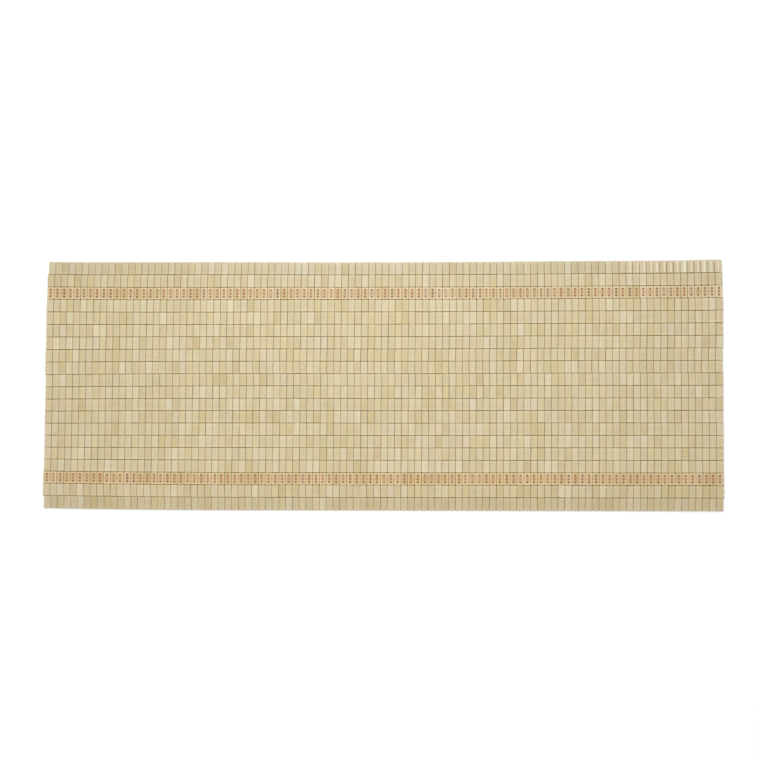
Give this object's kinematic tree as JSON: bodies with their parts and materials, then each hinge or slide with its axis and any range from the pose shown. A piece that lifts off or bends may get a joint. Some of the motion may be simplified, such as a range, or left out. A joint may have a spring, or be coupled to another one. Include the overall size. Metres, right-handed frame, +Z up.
{
  "type": "bamboo tile sleeping mat",
  "caption": "Flat flexible sleeping mat of small crowned bamboo tiles threaded edge to edge on elastic cords, with a printed border row near each long edge.",
  "frame": {"origin": "on the floor, under the middle of the mat", "axes": "+X along the mat's length, +Y across it towards the far edge, +Z up out of the tiles' faces"},
  "size_m": [1.903, 0.7, 0.007],
  "materials": {
    "bamboo": "satin",
    "printed_bamboo": "satin"
  },
  "bodies": {
    "root": {"plain_row_01": "bamboo", "plain_row_02": "bamboo", "printed_row_03": "printed_bamboo", "plain_row_04": "bamboo", "plain_row_05": "bamboo", "plain_row_06": "bamboo", "plain_row_07": "bamboo", "plain_row_08": "bamboo", "plain_row_09": "bamboo", "plain_row_10": "bamboo", "plain_row_11": "bamboo", "plain_row_12": "bamboo", "plain_row_13": "bamboo", "plain_row_14": "bamboo", "plain_row_15": "bamboo", "plain_row_16": "bamboo", "plain_row_17": "bamboo", "printed_row_18": "printed_bamboo", "plain_row_19": "bamboo", "plain_row_20": "bamboo"}
  },
  "joints": []
}
